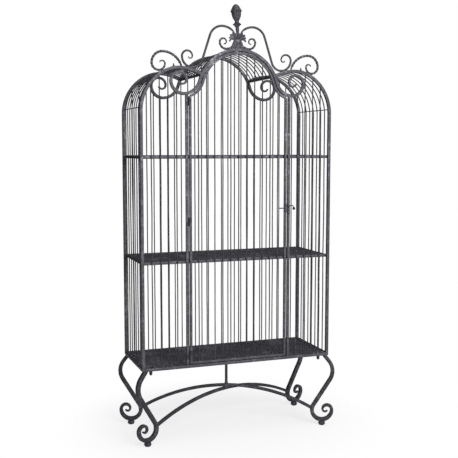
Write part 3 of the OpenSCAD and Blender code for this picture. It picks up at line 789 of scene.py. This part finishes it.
# ------------------------------------------------------------ pediment
def relief(name, node, front, thick):
    """Closed solid between a relief, given as a grid of (x, z, height), and its mirror image behind.
    Both sides meet at the grid's rim."""
    rows, n = front.shape[:2]
    faces = []
    half = rows * n
    for i in range(rows - 1):
        for j in range(n - 1):
            q = [i * n + j, i * n + j + 1, (i + 1) * n + j + 1, (i + 1) * n + j]
            faces += [q, [v + half for v in q][::-1]]
    rim = [j for j in range(n)] + [i * n + n - 1 for i in range(1, rows)]
    rim += [(rows - 1) * n + j for j in range(n - 2, -1, -1)] + [i * n for i in range(rows - 2, 0, -1)]
    for a, b in zip(rim, rim[1:] + rim[:1]):
        faces.append([a, b, b + half, a + half])
    face = np.stack([front[..., 0], -front[..., 2] * thick, front[..., 1]], axis=-1).reshape(-1, 3)
    shape = Shape()
    shape.add(np.concatenate([face, face * [1, -1, 1]]) + [PED_X, PED_Y, 0], faces)
    shape.piece(name, "cage", "ornament", IRON["ornament"], [node], 50)


def skirt():
    """Flared foot of the leaf, with flutes that spread towards the arch."""
    low, high = edges_mm("pediment_column")
    h = high[2] - low[2]
    v = np.linspace(0, 1, 30)[:, None]
    u = np.linspace(-1, 1, 97)[None, :]
    width = np.interp(v, [0, 0.14, 0.4, 0.66, 0.86, 1], [37, 36, 31, 25, 21, 20])
    flute = 0.5 + 0.5 * np.cos(u * math.pi * 7)
    dome = np.sqrt(np.clip(1 - 0.86 * u**2, 0, 1))
    height = dome * (0.86 - 0.24 * (1 - flute) * np.sin(math.pi * np.clip(v + 0.12, 0, 1)))
    edge = 1 + 0.035 * np.cos(v * math.pi * 6) * np.abs(u) ** 4
    front = np.stack([u * width * edge, low[2] + v * h + 0 * u, height], axis=-1)
    relief("pediment_skirt", "pediment_column", front, (high[1] - low[1]) / 2)


def leaf(tips=((0, 46), (30, 49), (51, 49.5), (68, 46.5), (87, 45)), half_lobe=9.5):
    """Fan-shaped leaf: ribs rise from its foot and curl outwards, each to a tooth on the edge."""
    low, high = edges_mm("pediment_leaf")
    foot_z = low[2] - 1
    a = np.linspace(-95, 95, 191)
    at = np.array([t[0] for t in tips])
    reach = np.array([t[1] for t in tips])
    off = np.abs(np.abs(a)[:, None] - at[None, :])
    phi = np.clip(off.min(axis=1) / half_lobe, 0, 1.1)[None, :]
    edge = np.interp(np.abs(a), at, reach)[None, :]
    t = np.linspace(0.03, 1, 34)[:, None]
    bite = np.clip((t - 0.72) / 0.28, 0, 1)
    radius = edge * t * (1 - 0.17 * phi**1.3 * bite**1.5)
    droop = 1 + 0.05 * bite**2
    turn = np.radians(a)[None, :] * (0.74 + 0.26 * t**1.3) * droop
    ridge = 1 - phi**1.4
    height = 0.52 + 0.34 * ridge * np.sin(math.pi * np.clip(t, 0, 0.96)) ** 0.45 - 0.20 * t**5
    height = height + 0.16 * np.exp(-((a[None, :] / 20) ** 2)) * (1 - t)
    front = np.stack([radius * np.sin(turn), foot_z + radius * np.cos(turn), height], axis=-1)
    relief("pediment_fan_leaf", "pediment_leaf", front, (high[1] - low[1]) / 2)


# Acorn finial as (radius, height): stem, collar, neck, cup, rim and nut
FINIAL = [(0.2, 0), (6.5, 0), (8, 3), (8.8, 9), (8.8, 25), (11, 28), (13, 31), (20.5, 37), (20, 40),
          (12.5, 45), (10.5, 48), (10.5, 54), (14, 60), (18.5, 67), (21.5, 75), (23.8, 84), (24.5, 94),
          (28.5, 102), (24.5, 105), (23, 110), (20, 116), (16.5, 123), (10.5, 130.5), (4.5, 134.2),
          (0.2, 135)]


def finial(lean=4.5):
    base_z = edges_mm("finial")[0][2]

    def carve(r, z, a):
        """Four-sided collar, leaves round the cup, a toothed rim and scales on the nut."""
        diamond = np.interp(z, [31, 33, 38, 43, 45], [0, 0.8, 1, 0.8, 0])
        square = 1 / np.maximum(np.abs(np.cos(a)) + np.abs(np.sin(a)), 1e-6)
        r_out = r * ((1 - diamond * 0.75) + diamond * 0.75 * square * 1.12)
        cup = np.interp(z, [56, 62, 98, 104], [0, 1, 1, 0])
        leaves = np.abs(np.cos(4 * a)) ** 0.6
        r_out = r_out * (1 - cup * 0.10 * (1 - leaves))
        tips = np.interp(z, [96, 102, 105.5], [0, 1, 0])
        r_out = r_out * (1 + tips * 0.10 * (leaves - 0.5))
        dome = np.interp(z, [106, 109, 130, 134], [0, 1, 1, 0])
        scales = np.abs(np.cos(5 * a + 0.24 * z)) * np.abs(np.cos(5 * a - 0.24 * z))
        r_out = r_out * (1 + dome * 0.10 * (scales - 0.4))
        return r_out, z + tips * 2.0 * (leaves - 0.5)

    shape = Shape()
    lathe(shape, smooth_profile(FINIAL, 1.1), (0, 0, 0), 80, carve)
    turn = math.radians(lean)
    verts = shape.verts[0]
    x, z = verts[:, 0].copy(), verts[:, 2].copy()
    verts[:, 0] = x * math.cos(turn) - z * math.sin(turn) + PED_X
    verts[:, 1] += PED_Y
    verts[:, 2] = x * math.sin(turn) + z * math.cos(turn) + base_z
    shape.piece("finial_acorn", "cage", "ornament", IRON["ornament"], ["finial"], 45)


def twisted(shape, path, half, pitch, sign):
    """Square bar twisted like rope, thin at its tips. pitch is the length of a full turn."""
    path = resample(path, 1.7)
    s = lengths(path)
    size = half * np.interp(s, [0, 25, s[-1] - 150, s[-1] - 60, s[-1]], [0.55, 1, 1, 0.86, 0.50])
    turn = sign * 2 * math.pi * s / pitch
    sweep(shape, in_plane(path, y=PED_Y), (0, 1, 0), size, size, SOFT_SQUARE, twist=turn)


def rope_scroll_path(s):
    """From behind the leaf, over a crest, down to the shoulder and round into its scroll. s is the side."""
    x = ROPE_LOW_X + s * PED_X
    z = shoulder_height(x, BAR / 2) + ROPE_D / 2 - 0.5 + ROPE_LOW_R
    low_c = np.array([ROPE_LOW_X, z])
    down = tangent_line_angle(ROPE_CREST, ROPE_CREST_R, low_c, ROPE_LOW_R)
    e = low_c[0] + ROPE_LOW_R
    return chain(arc((ROPE_CREST[0], ROPE_CREST[1] + ROPE_CREST_R - 80), 80, 140, 90),
                 arc(ROPE_CREST, ROPE_CREST_R, 90, down + 90),
                 line(on(ROPE_CREST, ROPE_CREST_R, down + 90), on(low_c, ROPE_LOW_R, down - 90), 3),
                 arc(low_c, ROPE_LOW_R, down + 270, 360),
                 arc((e - 27, z), 27, 0, 90, 2),
                 arc((e - 27, z + 2), 25, 90, 180, 2),
                 arc((e - 41, z + 2), 11, 180, 270, 1.5),
                 arc((e - 41, z), 9, 270, 350, 1.5))


def resting_height(centre, radius, x):
    """Height at x of the middle of something that rests on the outside of an arc, radius from its centre."""
    return centre[1] + math.sqrt(radius**2 - (x - centre[0]) ** 2)


def base_scroll_path(s):
    """Small scroll that leaves the skirt and curls up on top of the arch."""
    x = SMALL_X
    rest = ARCH_R + BAR / 2 + SMALL_R + (ROPE_D - 1) / 2 - SEAT
    z = resting_height(ARCH_C, rest, x + s * PED_X)
    return chain(arc((x, z + 18), SMALL_R + 18, 212, 270), arc((x, z), SMALL_R, 270, 360),
                 arc((x + 14, z), SMALL_R - 14, 0, 90, 2),
                 arc((x + 14, z + 2), SMALL_R - 16, 90, 180, 2),
                 arc((x + 8, z + 2), 10, 180, 290, 1.5))


def crest_scroll_path(s):
    """Outer scroll: up off the shoulder, over, and round on top of the shoulder into its curl."""
    x = OUTER_X
    rest = SHOULDER_R + BAR / 2 + OUTER_R + ROPE_D / 2 - SEAT
    z = resting_height(C1, rest, x + s * PED_X)
    return chain(arc((x - 20, z - 43), OUTER_R + 63, 165, 90), arc((x - 20, z), OUTER_R + 20, 90, 0),
                 arc((x, z), OUTER_R, 360, 270),
                 arc((x, z - 3), OUTER_R - 3, 270, 180, 2),
                 arc((x - 17, z - 3), 14, 180, 90, 1.5),
                 arc((x - 17, z - 1), 12, 90, 15, 1.5))


def placed(path, s):
    """The right-hand curve, or its mirror image, moved to the pediment's middle."""
    return path * [s, 1] + [PED_X, 0]


def scrolls():
    small = Shape()
    for side, s in SIDES.items():
        rope = Shape()
        twisted(rope, placed(rope_scroll_path(s), s), 4.7, 28, s)
        name = "rope_scroll_" + side
        rope.piece(name, "cage", "ornament", IRON["ornament"], [name], 60)
        crest = Shape()
        twisted(crest, placed(crest_scroll_path(s), s), 5.0, 64, s)
        name = "crest_scroll_" + side
        crest.piece(name, "cage", "ornament", IRON["ornament"], [name], 60)
        twisted(small, placed(base_scroll_path(s), s), 4.8, 64, s)
    small.piece("base_scrolls", "cage", "ornament", IRON["ornament"], ["base_scrolls"], 60)


def spikes():
    low, high = edges_mm("crest_spikes")
    h = high[2] - low[2]
    profile = [(0.2, 0), (6, 0), (6.2, 1.5), (5.4, 3.5), (3.9, 5.5), (4.0, 7), (3.2, 10), (2.0, 14),
               (0.8, h), (0.1, h)]
    shape = Shape()
    for s in (-1, 1):
        lathe(shape, smooth_profile(profile, 0.9), (s * (high[0] - 6), FRONT_Y, low[2]), 24)
    shape.piece("crest_spikes", "cage", "ornament", IRON["ornament"], ["crest_spikes"], 40)


# ------------------------------------------------------------ hinges and latch keep their CAD shape
def screw_heads(node, body):
    """Domed heads with a driver slot, in place of plain discs."""
    low, high = edges_mm(node)
    r = (high[0] - low[0]) / 2
    x, y = (low[0] + high[0]) / 2, high[1]
    shape = Shape()
    for k, z in enumerate((low[2] + r, high[2] - r)):
        slot = math.radians((25, 110)[k])
        rings = np.linspace(0, 1, 11)[1:]
        a = np.linspace(0, 2 * math.pi, 36, endpoint=False)
        tall = y - low[1] + 0.9
        verts = [np.column_stack([x + r * np.cos(a), y + 0.3 + 0 * a, z + r * np.sin(a)])]
        for t in rings[::-1]:
            px, pz = r * t * np.cos(a), r * t * np.sin(a)
            off = np.abs(px * math.sin(slot) - pz * math.cos(slot))
            out = tall * math.sqrt(max(0.0, 1 - 0.72 * t**3)) - 0.9 * (off < 0.55) * (t < 0.95)
            verts.append(np.column_stack([x + px, y - out, z + pz]))
        verts.append([[x, y - tall + 0.9, z]])
        m = len(a)
        count = len(rings) + 1
        faces = [[i * m + j, i * m + (j + 1) % m, (i + 1) * m + (j + 1) % m, (i + 1) * m + j]
                 for i in range(count - 1) for j in range(m)]
        faces += [[(count - 1) * m + j, (count - 1) * m + (j + 1) % m, count * m] for j in range(m)]
        faces.append(list(range(m)))
        shape.add(np.concatenate(verts), faces)
    shape.piece(node + "_heads", body, "hardware", IRON["hardware"], [node], 35)


SHOWN = {
    "hinge_lower_knuckles": ("hardware", 0.5), "hinge_upper_knuckles": ("hardware", 0.5),
    "hinge_pins": ("hardware", 0.4), "latch_keeper": ("frame_bar", 0.4), "latch_plate": ("frame_bar", 0.4),
    "latch_bolt": ("frame_bar", 0.2), "latch_knob": ("hardware", 0.2),
    "divider_right": ("frame_bar", 1.3), "door_stile_right": ("frame_bar", 1.3),
}


def finish_cad_nodes():
    for node, (slot, radius) in SHOWN.items():
        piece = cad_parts[node]
        piece.data.materials.clear()
        piece.data.materials.append(IRON[slot])
        weld = piece.modifiers.new("weld", "WELD")
        weld.merge_threshold = 0.00002
        bevel = piece.modifiers.new("bevel", "BEVEL")
        bevel.width = radius * MM
        bevel.segments = 3
        bevel.limit_method = "ANGLE"
        bevel.angle_limit = math.radians(40)
        bevel.harden_normals = True


# ------------------------------------------------------------ studio
def area_light(name, place, size, power, target=(0, 0, 1.1)):
    light = bpy.data.lights.new(name, "AREA")
    light.size = size
    light.energy = power
    lamp = bpy.data.objects.new(name, light)
    bpy.context.scene.collection.objects.link(lamp)
    lamp.location = place
    lamp.rotation_euler = (Vector(target) - Vector(place)).to_track_quat("-Z", "Y").to_euler()
    return lamp


def floor():
    """A plain pale floor that runs out into the white of the background."""
    bpy.ops.mesh.primitive_plane_add(size=60, location=(0, 0, cad_low[2] - 0.0005))
    ground = bpy.context.object
    ground.name = "floor"
    material = bpy.data.materials.new("floor")
    material.use_nodes = True
    nodes, link = material.node_tree.nodes, material.node_tree.links.new
    nodes["Principled BSDF"].inputs["Base Color"].default_value = (0.86, 0.86, 0.86, 1)
    nodes["Principled BSDF"].inputs["Roughness"].default_value = 0.9
    glow = nodes.new("ShaderNodeEmission")
    glow.inputs["Color"].default_value = (1, 1, 1, 1)
    away = nodes.new("ShaderNodeVectorMath")
    away.operation = "LENGTH"
    link(nodes.new("ShaderNodeTexCoord").outputs["Object"], away.inputs[0])
    fade = nodes.new("ShaderNodeMapRange")
    fade.interpolation_type = "SMOOTHSTEP"
    fade.inputs["From Min"].default_value = 0.35
    fade.inputs["From Max"].default_value = 0.95
    fade.inputs["To Min"].default_value = 0.72
    link(away.outputs["Value"], fade.inputs["Value"])
    seen = nodes.new("ShaderNodeMath")
    seen.operation = "MULTIPLY"
    link(fade.outputs["Result"], seen.inputs[0])
    link(nodes.new("ShaderNodeLightPath").outputs["Is Camera Ray"], seen.inputs[1])
    mix = nodes.new("ShaderNodeMixShader")
    link(seen.outputs[0], mix.inputs["Fac"])
    link(nodes["Principled BSDF"].outputs[0], mix.inputs[1])
    link(glow.outputs[0], mix.inputs[2])
    link(mix.outputs[0], nodes["Material Output"].inputs["Surface"])
    ground.data.materials.append(material)


def studio():
    """White all round for the camera, but dim for the light it casts, with three soft lamps in front."""
    scene = bpy.context.scene
    scene.view_settings.view_transform = "Standard"
    world = bpy.data.worlds.new("studio")
    scene.world = world
    world.use_nodes = True
    nodes, link = world.node_tree.nodes, world.node_tree.links.new
    dim, white = nodes["Background"], nodes.new("ShaderNodeBackground")
    dim.inputs["Color"].default_value = (0.22, 0.22, 0.235, 1)
    white.inputs["Color"].default_value = (1, 1, 1, 1)
    mix = nodes.new("ShaderNodeMixShader")
    link(nodes.new("ShaderNodeLightPath").outputs["Is Camera Ray"], mix.inputs["Fac"])
    link(dim.outputs[0], mix.inputs[1])
    link(white.outputs[0], mix.inputs[2])
    link(mix.outputs[0], nodes["World Output"].inputs["Surface"])
    area_light("key", (1.0, -5.2, 3.0), 2.6, 360)
    area_light("fill", (-3.2, -4.2, 1.6), 2.5, 30)
    area_light("overhead", (0.3, -0.8, 4.6), 2.5, 60)
    floor()


def camera(place=(-1.4439, -4.0361, 1.4601), down=5.6, turn=-19.88, focal=65.32):
    """Camera in metres and degrees, looking down and turned from +Y."""
    lens = bpy.data.cameras.new("camera")
    lens.lens = focal
    lens.sensor_width = 36
    lens.clip_end = 100
    view = bpy.data.objects.new("camera", lens)
    bpy.context.scene.collection.objects.link(view)
    view.location = place
    view.rotation_euler = (math.radians(90 - down), 0, math.radians(turn))
    bpy.context.scene.camera = view


uprights()
arches()
base_rails()
base_mid_rail()
shelf_frame("shelf_mid_frame")
shelf_frame("shelf_top_frame")
for grille in ("base_mesh", "shelf_mid_mesh", "shelf_top_mesh"):
    expanded_metal(grille)
front_and_back_rods()
side_and_roof_rods()
side_wires()
valley_bars()
door_frame()
legs()
stretchers()
strut()
stand_bolts()
skirt()
leaf()
finial()
scrolls()
spikes()
screw_heads("latch_screws", "door")
screw_heads("keeper_screws", "cage")
finish_cad_nodes()
studio()
camera()
